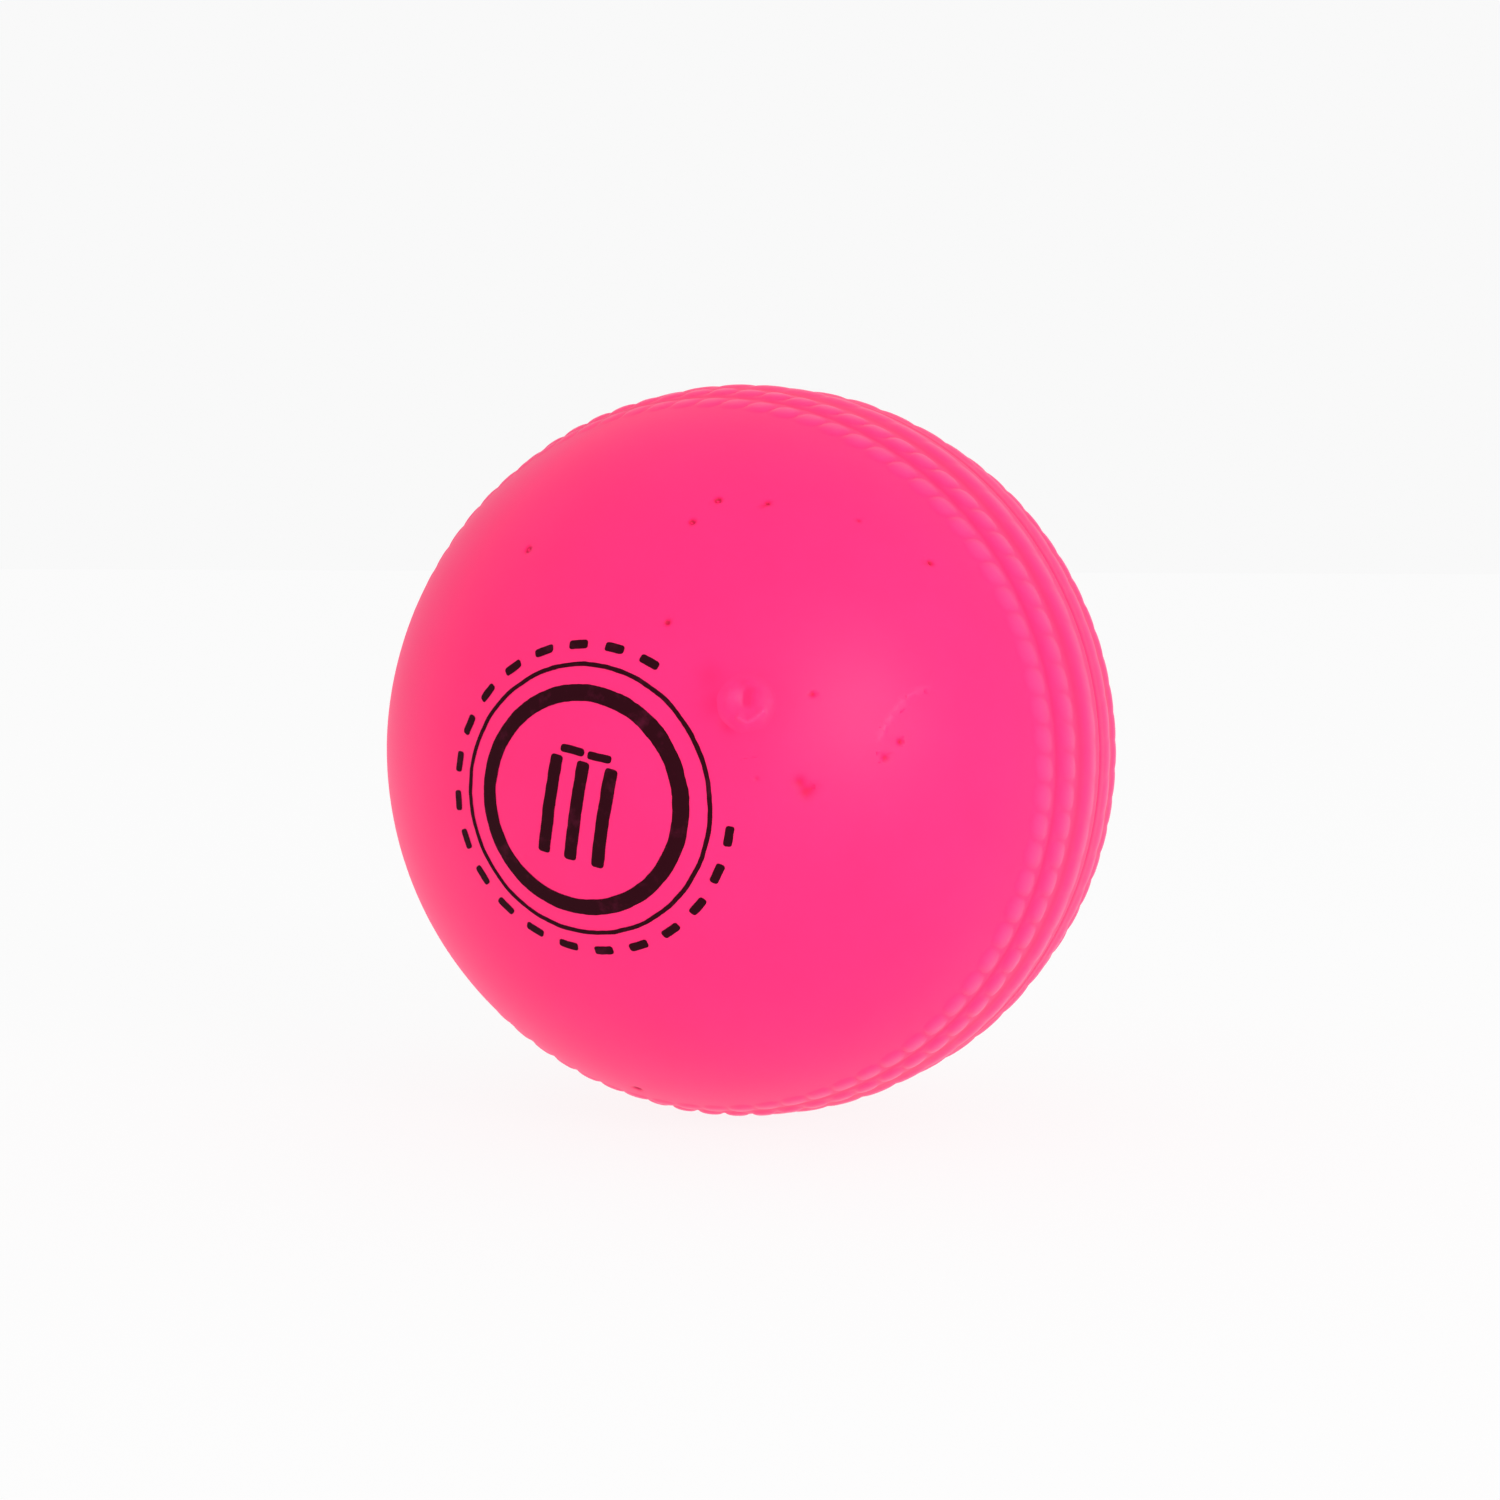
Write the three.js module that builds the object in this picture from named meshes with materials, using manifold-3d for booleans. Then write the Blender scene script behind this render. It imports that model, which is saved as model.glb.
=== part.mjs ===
// A soft practice cricket ball, moulded in pink vinyl: two hollow half shells welded rim to rim, with the
// seam's rows raised on them, an air hole closed by a plug and a sealing disc, and a mark printed in ink.
// Millimetres, +Z up, origin at the ball's centre. The seam goes round the Y axis and stands upright in the
// XZ plane, and the printed half faces -Y.

import * as THREE from "three";
import { mergeVertices } from "three/addons/utils/BufferGeometryUtils.js";
import Module from "manifold-3d";

// The ball
const BODY_R = 35.5; // the smooth body, so it is 71 mm across
const WALL = 4.5; // thickness of the vinyl
const SEAM_RISE = 0.35; // the rows stand this far above the body, so the seam is 71.6 mm across
const SHELL_SIDES = 64;
const DOME_STEPS = 11; // facets from the seam's edge to the pole, outside
const HOLLOW_STEPS = 14; // facets from the rim to the pole, inside

// The seam's three rows on each half: degrees above the parting plane, and half of each row's width
const SEAM_ROWS = [
  { middle: 5.0, half: 2.4 },
  { middle: 13.2, half: 2.3 },
  { middle: 19.8, half: 2.3 },
];
const ROW_TOP = 0.55; // share of a row's width that is at full height

// The joint between the halves
const FIT_GAP = 0.3; // room left between pieces that touch
const BEAD_INNER_R = 32.6;
const BEAD_OUTER_R = 33.9;
const BEAD_LENGTH = 2.2;
const BEAD_CHAMFER = 0.3;

// The air hole, aimed away from the printed pole
const HOLE_TILT = 24; // degrees from -Y
const HOLE_CLOCK = 27; // degrees round -Y, from +X towards +Z
const PLUG_R = 1.1;
const PLUG_TAPER = 0.15; // the stem is this much slimmer at its inner end
const PLUG_FLANGE_R = 2.4;
const PLUG_FLANGE_THICK = 0.9;
const DISC_R = 1.4;
const DISC_THICK = 0.6;
const DISC_CROWN = 0.15;
const HOLE_SIDES = 24;

// The printed mark
const MARK_TILT = 5; // degrees from -Y
const MARK_CLOCK = -130;
const MARK_TURN = -12; // degrees, clockwise as it is read
const INK_GAP = 0.06;
const INK_FILM = 0.12;
const RING_INNER_R = 8.9;
const RING_OUTER_R = 10.4;
const HAIRLINE_INNER_R = 12.0;
const HAIRLINE_OUTER_R = 12.4;
const MARK_SIDES = 48;
const DASH_PLACES = 24; // evenly round the mark
const DASH_GAP_FROM = 25; // degrees clockwise from the mark's top: no dashes beside the air hole
const DASH_GAP_TO = 80;
const DASH_R = 14.0;
const DASH_LENGTH = 1.9;
const DASH_WIDTH = 0.8;
const STUMP_WIDTH = 1.2;
const STUMP_HEIGHT = 9.0;
const STUMP_PITCH = 2.7;
const STUMP_MIDDLE = -0.8; // the stumps' middle is this far above the mark's centre
const BAIL_WIDTH = 0.7;
const BAIL_GAP = 0.35;

const RADIANS = Math.PI / 180;
const MERGE_DISTANCE = 1e-4;

const wasm = await Module();
wasm.setup();

const vinyl = () => new THREE.MeshStandardMaterial({ color: 0xff4385, roughness: 0.55, metalness: 0 });
const bareVinyl = () => new THREE.MeshStandardMaterial({ color: 0xf27aa6, roughness: 0.6, metalness: 0 });
const plugVinyl = () => new THREE.MeshStandardMaterial({ color: 0xe63a78, roughness: 0.5, metalness: 0 });
const ink = () => new THREE.MeshStandardMaterial({ color: 0x1c1418, roughness: 0.45, metalness: 0 });

// Merges a geometry's shared vertices and drops the triangles that this flattens, so that it is one closed
// surface.
function closed(geometry) {
  const bare = geometry.clone();
  bare.deleteAttribute("normal");
  bare.deleteAttribute("uv");
  const merged = mergeVertices(bare, MERGE_DISTANCE);
  const corners = merged.index.array;
  const kept = [];
  for (let i = 0; i < corners.length; i += 3) {
    const [a, b, c] = corners.slice(i, i + 3);
    if (a !== b && b !== c && c !== a) kept.push(a, b, c);
  }
  merged.setIndex(kept);
  merged.computeVertexNormals();
  return merged;
}

function toManifold(geometry) {
  const surface = closed(geometry);
  return new wasm.Manifold(
    new wasm.Mesh({
      numProp: 3,
      vertProperties: new Float32Array(surface.attributes.position.array),
      triVerts: new Uint32Array(surface.index.array),
    }),
  );
}

function fromManifold(solid) {
  const mesh = solid.getMesh();
  const geometry = new THREE.BufferGeometry();
  geometry.setAttribute("position", new THREE.BufferAttribute(mesh.vertProperties, 3));
  geometry.setIndex(new THREE.BufferAttribute(mesh.triVerts, 1));
  geometry.computeVertexNormals();
  return geometry;
}

// A point of a shell's profile, at a radius from the centre and an angle above the parting plane.
function onProfile(radius, degrees) {
  return new THREE.Vector2(radius * Math.cos(degrees * RADIANS), radius * Math.sin(degrees * RADIANS));
}

function atHeight(radius, height) {
  return new THREE.Vector2(Math.sqrt(radius * radius - height * height), height);
}

// The half on the +Y side: down the inside from the pole, across the grooved rim and up over the rows.
function shellProfile() {
  const hollowR = BODY_R - WALL;
  const rim = FIT_GAP / 2;
  const grooveDepth = BEAD_LENGTH / 2 + FIT_GAP;
  const points = [];
  for (let i = 0; i < HOLLOW_STEPS; i += 1) points.push(onProfile(hollowR, 90 - (i * 90) / HOLLOW_STEPS));
  points[0].x = 0;
  points.push(atHeight(hollowR, rim));
  points.push(new THREE.Vector2(BEAD_INNER_R - FIT_GAP, rim));
  points.push(new THREE.Vector2(BEAD_INNER_R - FIT_GAP, grooveDepth));
  points.push(new THREE.Vector2(BEAD_OUTER_R + FIT_GAP, grooveDepth));
  points.push(new THREE.Vector2(BEAD_OUTER_R + FIT_GAP, rim));
  points.push(atHeight(BODY_R, rim));
  for (const { middle, half } of SEAM_ROWS) {
    points.push(onProfile(BODY_R, middle - half));
    points.push(onProfile(BODY_R + SEAM_RISE, middle - half * ROW_TOP));
    points.push(onProfile(BODY_R + SEAM_RISE, middle + half * ROW_TOP));
    points.push(onProfile(BODY_R, middle + half));
  }
  const last = SEAM_ROWS[SEAM_ROWS.length - 1];
  const edge = last.middle + last.half;
  for (let i = 1; i < DOME_STEPS; i += 1) {
    points.push(onProfile(BODY_R, edge + (i * (90 - edge)) / DOME_STEPS));
  }
  points.push(new THREE.Vector2(0, BODY_R));
  return points;
}

function halfShell() {
  return new THREE.LatheGeometry(shellProfile(), SHELL_SIDES);
}

// The bead of melted vinyl that fills the two rims' grooves.
function weldBead() {
  const half = BEAD_LENGTH / 2;
  const corner = BEAD_CHAMFER;
  const profile = [
    [BEAD_INNER_R, corner - half],
    [BEAD_INNER_R + corner, -half],
    [BEAD_OUTER_R - corner, -half],
    [BEAD_OUTER_R, corner - half],
    [BEAD_OUTER_R, half - corner],
    [BEAD_OUTER_R - corner, half],
    [BEAD_INNER_R + corner, half],
    [BEAD_INNER_R, half - corner],
    [BEAD_INNER_R, corner - half],
  ];
  return new THREE.LatheGeometry(profile.map(([x, y]) => new THREE.Vector2(x, y)), SHELL_SIDES);
}

// Solids of the air hole, on the Y axis with the ball's centre at the origin.
const discTop = BODY_R;
const discFoot = discTop - DISC_THICK;
const stemTop = discFoot - FIT_GAP;
const flangeTop = Math.sqrt((BODY_R - WALL) ** 2 - PLUG_FLANGE_R ** 2) - FIT_GAP;

function turned(pairs, sides) {
  return new THREE.LatheGeometry(pairs.map(([x, y]) => new THREE.Vector2(x, y)), sides);
}

function airHole() {
  const ledge = discFoot - FIT_GAP / 2;
  return turned(
    [
      [0, flangeTop - WALL],
      [PLUG_R + FIT_GAP, flangeTop - WALL],
      [PLUG_R + FIT_GAP, ledge],
      [DISC_R + FIT_GAP, ledge],
      [DISC_R + FIT_GAP, BODY_R + WALL],
      [0, BODY_R + WALL],
    ],
    HOLE_SIDES,
  );
}

function airPlug() {
  return turned(
    [
      [0, flangeTop - PLUG_FLANGE_THICK],
      [PLUG_FLANGE_R, flangeTop - PLUG_FLANGE_THICK],
      [PLUG_FLANGE_R, flangeTop],
      [PLUG_R - PLUG_TAPER, flangeTop],
      [PLUG_R, stemTop],
      [0, stemTop],
    ],
    HOLE_SIDES,
  );
}

function sealingDisc() {
  return turned(
    [
      [0, discFoot],
      [DISC_R, discFoot],
      [DISC_R, discTop - DISC_CROWN],
      [DISC_R * 0.6, discTop],
      [0, discTop + DISC_CROWN],
    ],
    HOLE_SIDES,
  );
}

// A group whose Y axis points out of the ball at that place, with X to the right as the place is looked at.
function standOn(tilt, clock, turn = 0) {
  const out = new THREE.Vector3(
    Math.sin(tilt * RADIANS) * Math.cos(clock * RADIANS),
    -Math.cos(tilt * RADIANS),
    Math.sin(tilt * RADIANS) * Math.sin(clock * RADIANS),
  );
  const right = new THREE.Vector3(0, 0, 1).cross(out).normalize();
  const down = right.clone().cross(out);
  const group = new THREE.Group();
  group.setRotationFromMatrix(new THREE.Matrix4().makeBasis(right, out, down));
  group.rotateY(turn * RADIANS);
  group.updateMatrixWorld(true);
  return group;
}

// A band of ink round the mark's centre, between two radii measured along the ball's surface.
function inkRing(innerR, outerR) {
  const foot = BODY_R + INK_GAP;
  const top = foot + INK_FILM;
  const around = (radius, arc) => {
    const angle = arc / BODY_R;
    return [radius * Math.sin(angle), radius * Math.cos(angle)];
  };
  const profile = [
    around(foot, innerR),
    around(foot, outerR),
    around(top, outerR),
    around(top, innerR),
    around(foot, innerR),
  ];
  return turned(profile, MARK_SIDES);
}

// A rectangle of ink wrapped onto the ball, turned about its middle, across and up from the mark's own.
function inkPatch({ width, height, across, up, turn = 0, steps = 1 }) {
  const geometry = new THREE.BoxGeometry(width, height, INK_FILM, 1, steps, 1);
  geometry.rotateZ(turn);
  geometry.translate(across, up, 0);
  const place = geometry.attributes.position;
  for (let i = 0; i < place.count; i += 1) {
    const [x, y, z] = [place.getX(i), place.getY(i), place.getZ(i)];
    const arc = Math.hypot(x, y);
    const radius = BODY_R + INK_GAP + INK_FILM / 2 + z;
    const spread = arc > 0 ? (radius * Math.sin(arc / BODY_R)) / arc : 0;
    place.setXYZ(i, x * spread, radius * Math.cos(arc / BODY_R), -y * spread);
  }
  return geometry;
}

function named(name, geometry, material) {
  const mesh = new THREE.Mesh(geometry, material);
  mesh.name = name;
  return mesh;
}

const ball = new THREE.Group();

// Shells, with the air hole cut through the printed one
const plainHalf = closed(halfShell());
const printedHalf = halfShell().rotateX(Math.PI);
const holePlace = standOn(HOLE_TILT, HOLE_CLOCK);
const holeCutter = airHole().applyMatrix4(holePlace.matrixWorld);
const drilledHalf = fromManifold(toManifold(printedHalf).subtract(toManifold(holeCutter)));
ball.add(named("plain_half_shell", plainHalf, vinyl()));
ball.add(named("printed_half_shell", drilledHalf, vinyl()));
ball.add(named("weld_bead", closed(weldBead()), bareVinyl()));

// What closes the air hole
holePlace.add(named("air_hole_plug", closed(airPlug()), plugVinyl()));
holePlace.add(named("plug_sealing_disc", closed(sealingDisc()), vinyl()));
ball.add(holePlace);

// The printed mark: a ring round a wicket, a hairline ring, and dashes in a circle outside it
const mark = standOn(MARK_TILT, MARK_CLOCK, MARK_TURN);
mark.add(named("print_ring", closed(inkRing(RING_INNER_R, RING_OUTER_R)), ink()));
mark.add(named("print_hairline_ring", closed(inkRing(HAIRLINE_INNER_R, HAIRLINE_OUTER_R)), ink()));

const stumps = ["left", "middle", "right"];
stumps.forEach((side, i) => {
  const patch = inkPatch({
    width: STUMP_WIDTH,
    height: STUMP_HEIGHT,
    across: (i - 1) * STUMP_PITCH,
    up: STUMP_MIDDLE,
    steps: 4,
  });
  mark.add(named(`print_stump_${side}`, closed(patch), ink()));
});

const bailLength = STUMP_PITCH - BAIL_GAP;
const bailUp = STUMP_MIDDLE + STUMP_HEIGHT / 2 + BAIL_GAP + BAIL_WIDTH / 2;
["left", "right"].forEach((side, i) => {
  const patch = inkPatch({
    width: bailLength,
    height: BAIL_WIDTH,
    across: (i - 0.5) * STUMP_PITCH,
    up: bailUp,
  });
  mark.add(named(`print_bail_${side}`, closed(patch), ink()));
});

const dashAngles = Array.from({ length: DASH_PLACES }, (_, i) => (i * 360) / DASH_PLACES);
const inkedAngles = dashAngles.filter((angle) => angle < DASH_GAP_FROM || angle > DASH_GAP_TO);
inkedAngles.forEach((angle, i) => {
  const around = angle * RADIANS;
  const patch = inkPatch({
    width: DASH_LENGTH,
    height: DASH_WIDTH,
    across: DASH_R * Math.sin(around),
    up: DASH_R * Math.cos(around),
    turn: -around,
  });
  mark.add(named(`print_dash_${String(i + 1).padStart(2, "0")}`, closed(patch), ink()));
});
ball.add(mark);

export default ball;
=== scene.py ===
import math

import bmesh
import bpy
from mathutils import Matrix, Vector, noise


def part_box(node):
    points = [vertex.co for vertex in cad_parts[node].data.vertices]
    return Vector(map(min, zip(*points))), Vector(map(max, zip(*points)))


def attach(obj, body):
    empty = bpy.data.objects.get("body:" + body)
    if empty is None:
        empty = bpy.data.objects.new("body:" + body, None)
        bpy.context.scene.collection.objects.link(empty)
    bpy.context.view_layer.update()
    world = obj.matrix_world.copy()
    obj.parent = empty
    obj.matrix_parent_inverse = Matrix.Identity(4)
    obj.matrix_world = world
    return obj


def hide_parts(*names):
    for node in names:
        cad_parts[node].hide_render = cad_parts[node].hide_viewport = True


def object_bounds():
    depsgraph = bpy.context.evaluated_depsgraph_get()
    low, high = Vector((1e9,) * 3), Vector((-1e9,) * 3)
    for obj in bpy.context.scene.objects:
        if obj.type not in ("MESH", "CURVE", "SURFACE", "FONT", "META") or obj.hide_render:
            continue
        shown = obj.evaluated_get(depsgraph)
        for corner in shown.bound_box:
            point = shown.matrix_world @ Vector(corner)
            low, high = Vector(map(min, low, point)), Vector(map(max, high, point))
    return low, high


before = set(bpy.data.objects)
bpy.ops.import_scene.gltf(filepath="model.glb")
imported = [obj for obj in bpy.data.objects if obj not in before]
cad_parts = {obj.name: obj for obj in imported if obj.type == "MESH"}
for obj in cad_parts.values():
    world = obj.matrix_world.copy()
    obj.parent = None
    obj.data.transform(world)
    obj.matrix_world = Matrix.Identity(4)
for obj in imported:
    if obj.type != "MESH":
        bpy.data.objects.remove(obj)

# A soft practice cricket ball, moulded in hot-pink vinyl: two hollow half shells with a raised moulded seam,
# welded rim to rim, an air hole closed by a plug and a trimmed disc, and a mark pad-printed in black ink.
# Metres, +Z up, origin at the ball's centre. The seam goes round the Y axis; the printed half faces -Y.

cad_low, cad_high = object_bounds()

MM = 0.001
Y_AXIS = Vector((0, 1, 0))
Z_AXIS = Vector((0, 0, 1))

# ---------------------------------------------------------------------------------------------------------
# Sizes, in metres, from the frame and from the ball's own driving dimensions
# ---------------------------------------------------------------------------------------------------------

BODY_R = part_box("plain_half_shell")[1].y
BEAD_OUTER_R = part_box("weld_bead")[1].x
BEAD_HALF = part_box("weld_bead")[1].y
WALL = 4.5 * MM
BEAD_THICK = 1.3 * MM
FIT_GAP = 0.3 * MM
RIM_HALF_GAP = 0.02 * MM       # the welded rims all but touch

SHELL_COLUMNS = 240
SEAM_CUTS = 3                  # extra columns between those, over the seam only
SEAM_EDGE = 22.5               # degrees from the parting plane to where the seam ends
SEAM_STEP = 0.5                # degrees between rows of faces on the seam
DOME_STEP = 1.5
HOLLOW_STEP = 6.0
FINEST_EDGE = 0.16 * MM        # where the skin is split further for small marks, edges this short stay whole

# Rows of moulded stitches on each half: how many go round, the row's middle and half width in degrees from
# the parting plane, the height of its unbroken ridge, the stitches' height on that, the depth of the cut
# between two stitches, how far their ends lean, where the row starts and how unevenly it is spaced, all
# three as shares of the pitch, and how much of its relief the row has lost on the ball's left side.
STITCH_ROWS = (
    {"count": 60, "middle": 4.7, "half": 2.5, "ridge": 0.15 * MM, "rise": 0.10 * MM, "cut": 0.03 * MM,
     "lean": -0.10, "start": 0.45, "sway": 0.0, "faint": 0.0},
    {"count": 80, "middle": 12.7, "half": 2.3, "ridge": 0.04 * MM, "rise": 0.28 * MM, "cut": 0.06 * MM,
     "lean": -0.12, "start": 0.52, "sway": 0.24, "faint": 0.15},
    {"count": 80, "middle": 19.4, "half": 2.3, "ridge": 0.04 * MM, "rise": 0.28 * MM, "cut": 0.06 * MM,
     "lean": -0.12, "start": 0.48, "sway": 0.45, "faint": 0.6},
)
STITCH_FILL = 0.96             # share of the pitch that a stitch fills
CUT_WIDTH = 0.2                # of half a pitch
PILLOW_LONG, PILLOW_WIDE = 2.6, 2.4   # how square a stitch's top is along the row and across it
BAND_ROUND = 1.5               # how quickly a ridge falls off towards its sides
SWAY_FROM = 16                 # degrees round the seam where a row's spacing is at its most even
LOW_STITCH, STITCH_SPREAD = 0.93, 0.2   # a mean stitch's share of its row's height, and how much they differ
SEAM_FADE = 0.7                # degrees over which the seam's colour gives way to the plain skin's

# The plain half's mould is worn, so its stitches have almost run together into plain ridges
WORN_RISE = 0.4                # share of the stitches' height that is left
WORN_RIDGE = 0.12 * MM

# The right side is where the ball has been handled most, and its stitches are rubbed down towards ridges
HANDLED_MIDDLE = 12            # degrees round the seam, from +X towards +Z
HANDLED_REACH = 32
HANDLED_SHARE = 0.5            # of the stitches' height lost there, at most

# Channels between the rows, in degrees from the parting plane
CHANNELS = (
    {"middle": 0.0, "half": 0.6, "depth": 0.10 * MM},
    {"middle": 8.8, "half": 1.3, "depth": 0.09 * MM},
    {"middle": 16.1, "half": 0.6, "depth": 0.08 * MM},
)

SKIN_DEPTH = 0.3 * MM          # what is nearer than this to the smooth body's surface belongs to the skin
DISC_THICK = 0.6 * MM          # of the sealing disc, below the skin

INK_FOOT = 0.008 * MM
INK_TOP = 0.05 * MM
INK_GRID = 0.22 * MM
INK_CREEP = ((0.06, 1.5), (0.035, 0.45))   # how far the ink's edge strays and over what length, in mm


def clamp01(value):
    return max(0.0, min(1.0, value))


def smooth_step(value):
    t = clamp01(value)
    return t * t * (3 - 2 * t)


def bell(distance, width):
    """1 at the middle, falling smoothly to almost nothing at twice the width."""
    return math.exp(-((distance / width) ** 2))


# ---------------------------------------------------------------------------------------------------------
# Places on the ball
# ---------------------------------------------------------------------------------------------------------

def towards(tilt, clock):
    """The direction that is tilt degrees from the printed pole, at clock degrees round it from +X to +Z."""
    t, c = math.radians(tilt), math.radians(clock)
    return Vector((math.sin(t) * math.cos(c), -math.cos(t), math.sin(t) * math.sin(c)))


def latitude_of(direction):
    """Degrees from the parting plane, whichever half the direction is on."""
    return math.degrees(math.asin(max(-1.0, min(1.0, abs(direction.y)))))


def middle_of(node):
    low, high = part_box(node)
    return (low + high) / 2


class Place:
    """A spot on the ball with flat coordinates round it: x right and y up, in metres along the skin."""

    def __init__(self, out, up_hint):
        self.out = out.normalized()
        self.right = up_hint.cross(self.out).normalized()
        self.up = self.out.cross(self.right)

    def direction(self, x, y):
        arc = math.hypot(x, y)
        if arc < 1e-9:
            return self.out.copy()
        angle = arc / BODY_R
        sideways = (self.right * x + self.up * y) / arc
        return self.out * math.cos(angle) + sideways * math.sin(angle)

    def flat(self, direction):
        x, y = direction.dot(self.right), direction.dot(self.up)
        spread = math.hypot(x, y)
        if spread < 1e-9:
            return 0.0, 0.0
        arc = BODY_R * math.atan2(spread, direction.dot(self.out))
        return x / spread * arc, y / spread * arc


air_hole = Place(middle_of("plug_sealing_disc"), Z_AXIS)
bails_middle = (middle_of("print_bail_left") + middle_of("print_bail_right")) / 2
mark = Place(middle_of("print_ring"), bails_middle - middle_of("print_stump_middle"))


# ---------------------------------------------------------------------------------------------------------
# The skin's relief: how far the moulded surface stands off the smooth body in any direction
# ---------------------------------------------------------------------------------------------------------

# Gas pinholes and nicks in the skin: tilt, clock, radius and depth in millimetres
PITS = (
    (39, 118, 0.30, 0.30),
    (40, 76, 0.26, 0.30),
    (45, 73.5, 0.28, 0.32),
    (48, 64.5, 0.24, 0.22),
    (55, 50, 0.22, 0.12),
    (60, 37, 0.26, 0.22),
    (24, 68, 0.26, 0.22),
    (33, 22, 0.24, 0.13),
    (44, 7, 0.28, 0.14),
    (41.5, 4, 0.32, 0.12),
    (23, 0, 0.20, 0.06),
    (29, -1, 0.50, 0.10),
    (30, -4, 0.55, 0.11),
    (31, -2.5, 0.40, 0.06),
    (63, -99, 0.40, 0.25),
)
pit_spots = [(towards(tilt, clock), radius * MM, depth * MM) for tilt, clock, radius, depth in PITS]

# A raised flow line where two streams of vinyl met, as tilt and clock along it
CREASE = ((40, 5.5), (42.5, 11.5), (46, 15.5), (52.5, 17.5))
CREASE_RISE = 0.06 * MM
CREASE_WIDTH = 0.22 * MM
crease_line = [towards(tilt, clock) * BODY_R for tilt, clock in CREASE]

# Soft hollows beside the air hole, in flat millimetres from its middle: x, y, radius, depth
SINKS = (
    (-1.7, -1.9, 0.8, 0.11),
    (-3.0, -0.1, 1.2, 0.08),
    (-3.3, 2.4, 1.2, 0.06),
    (0.0, 0.0, 3.6, 0.05),
)
sink_spots = [(air_hole.direction(x * MM, y * MM), radius * MM, depth * MM) for x, y, radius, depth in SINKS]

# A blemish is only worked out for directions this near its spot, as the cosine of the angle between them
PIT_REACH, SINK_REACH, CREASE_REACH = 0.998, 0.97, 0.95

# The tone paints shade into the vinyl's colour in hollows and a highlight onto its raised relief: its value
# at the bottom of a hollow and on the plain skin, the relief that takes the tone up to 1, and the depths of
# pit and sink that would take it down by 1
HOLLOW_TONE, PLAIN_TONE = 0.2, 0.4
TONE_RISE = 0.30 * MM
PIT_TONE_DEPTH, SINK_TONE_DEPTH = 0.35 * MM, 0.6 * MM
PIT_TONE_SPREAD = 1.1          # of the pit's radius
# Painted highlight along the flow line
CREASE_TONE = 0.3

LUMP_SIZES = ((2.1, 0.10 * MM), (5.0, 0.03 * MM))   # lumps per radius, and their full height
LUMP_START = Vector((3.1, 1.7, 0.4))


def stitch_height(row, latitude, longitude, worn):
    """One row of pillow-shaped stitches, each a little different, as a hand-cut mould leaves them."""
    across = (latitude - row["middle"]) / row["half"]
    if abs(across) >= 1:
        return 0.0
    band = (1 - across ** 2) ** BAND_ROUND
    handled = HANDLED_SHARE * bell(longitude - HANDLED_MIDDLE, HANDLED_REACH)
    ridge = (row["ridge"] + 0.5 * handled * row["rise"] + (WORN_RIDGE if worn else 0)) * band
    left = 0.5 - 0.5 * math.cos(math.radians(longitude))
    share = (WORN_RISE if worn else 1) * (1 - row["faint"] * left) * (1 - handled)
    sway = row["sway"] * (1 - math.cos(math.radians(longitude - SWAY_FROM)))
    along = longitude / 360 * row["count"] + row["start"] + sway + row["lean"] * across
    index = math.floor(along)
    beside = abs(2 * (along - index) - 1)
    cut = row["cut"] * bell(1 - beside, CUT_WIDTH) * band
    swell = max(0.0, 1 - (beside / STITCH_FILL) ** PILLOW_LONG - abs(across) ** PILLOW_WIDE)
    uneven = noise.noise(Vector((index % row["count"] * 0.71, row["middle"], 4.2)))
    return ridge + share * (row["rise"] * swell * (LOW_STITCH + STITCH_SPREAD * uneven) - cut)


def seam_height(direction):
    latitude = latitude_of(direction)
    if latitude > SEAM_EDGE:
        return 0.0
    longitude = math.degrees(math.atan2(direction.z, direction.x))
    worn = direction.y > 0 and latitude > CHANNELS[1]["middle"]
    height = sum(stitch_height(row, latitude, longitude, worn) for row in STITCH_ROWS)
    for channel in CHANNELS:
        height -= channel["depth"] * bell(latitude - channel["middle"], channel["half"])
    return height


def distance_to_crease(point):
    nearest, share = 1.0, 0.0
    spans = len(crease_line) - 1
    for i in range(spans):
        start, end = crease_line[i], crease_line[i + 1]
        run = end - start
        t = clamp01((point - start).dot(run) / run.length_squared)
        gap = (point - start - run * t).length
        if gap < nearest:
            nearest, share = gap, (i + t) / spans
    return nearest, share


def crease_share(direction):
    """The share of the flow line's full height in a direction; it fades in and out at its ends."""
    if direction.dot(crease_line[1]) <= CREASE_REACH * BODY_R:
        return 0.0
    gap, share = distance_to_crease(direction * BODY_R)
    return bell(gap, CREASE_WIDTH) * smooth_step(4 * share) * smooth_step(4 - 4 * share)


def blemish_height(direction):
    """Pinholes, the flow line and the sinks round the air hole, all on the printed half."""
    height = CREASE_RISE * crease_share(direction)
    for spots, reach in ((pit_spots, PIT_REACH), (sink_spots, SINK_REACH)):
        for spot, radius, depth in spots:
            if direction.dot(spot) > reach:
                height -= depth * bell((direction - spot).length * BODY_R, radius)
    return height


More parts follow.
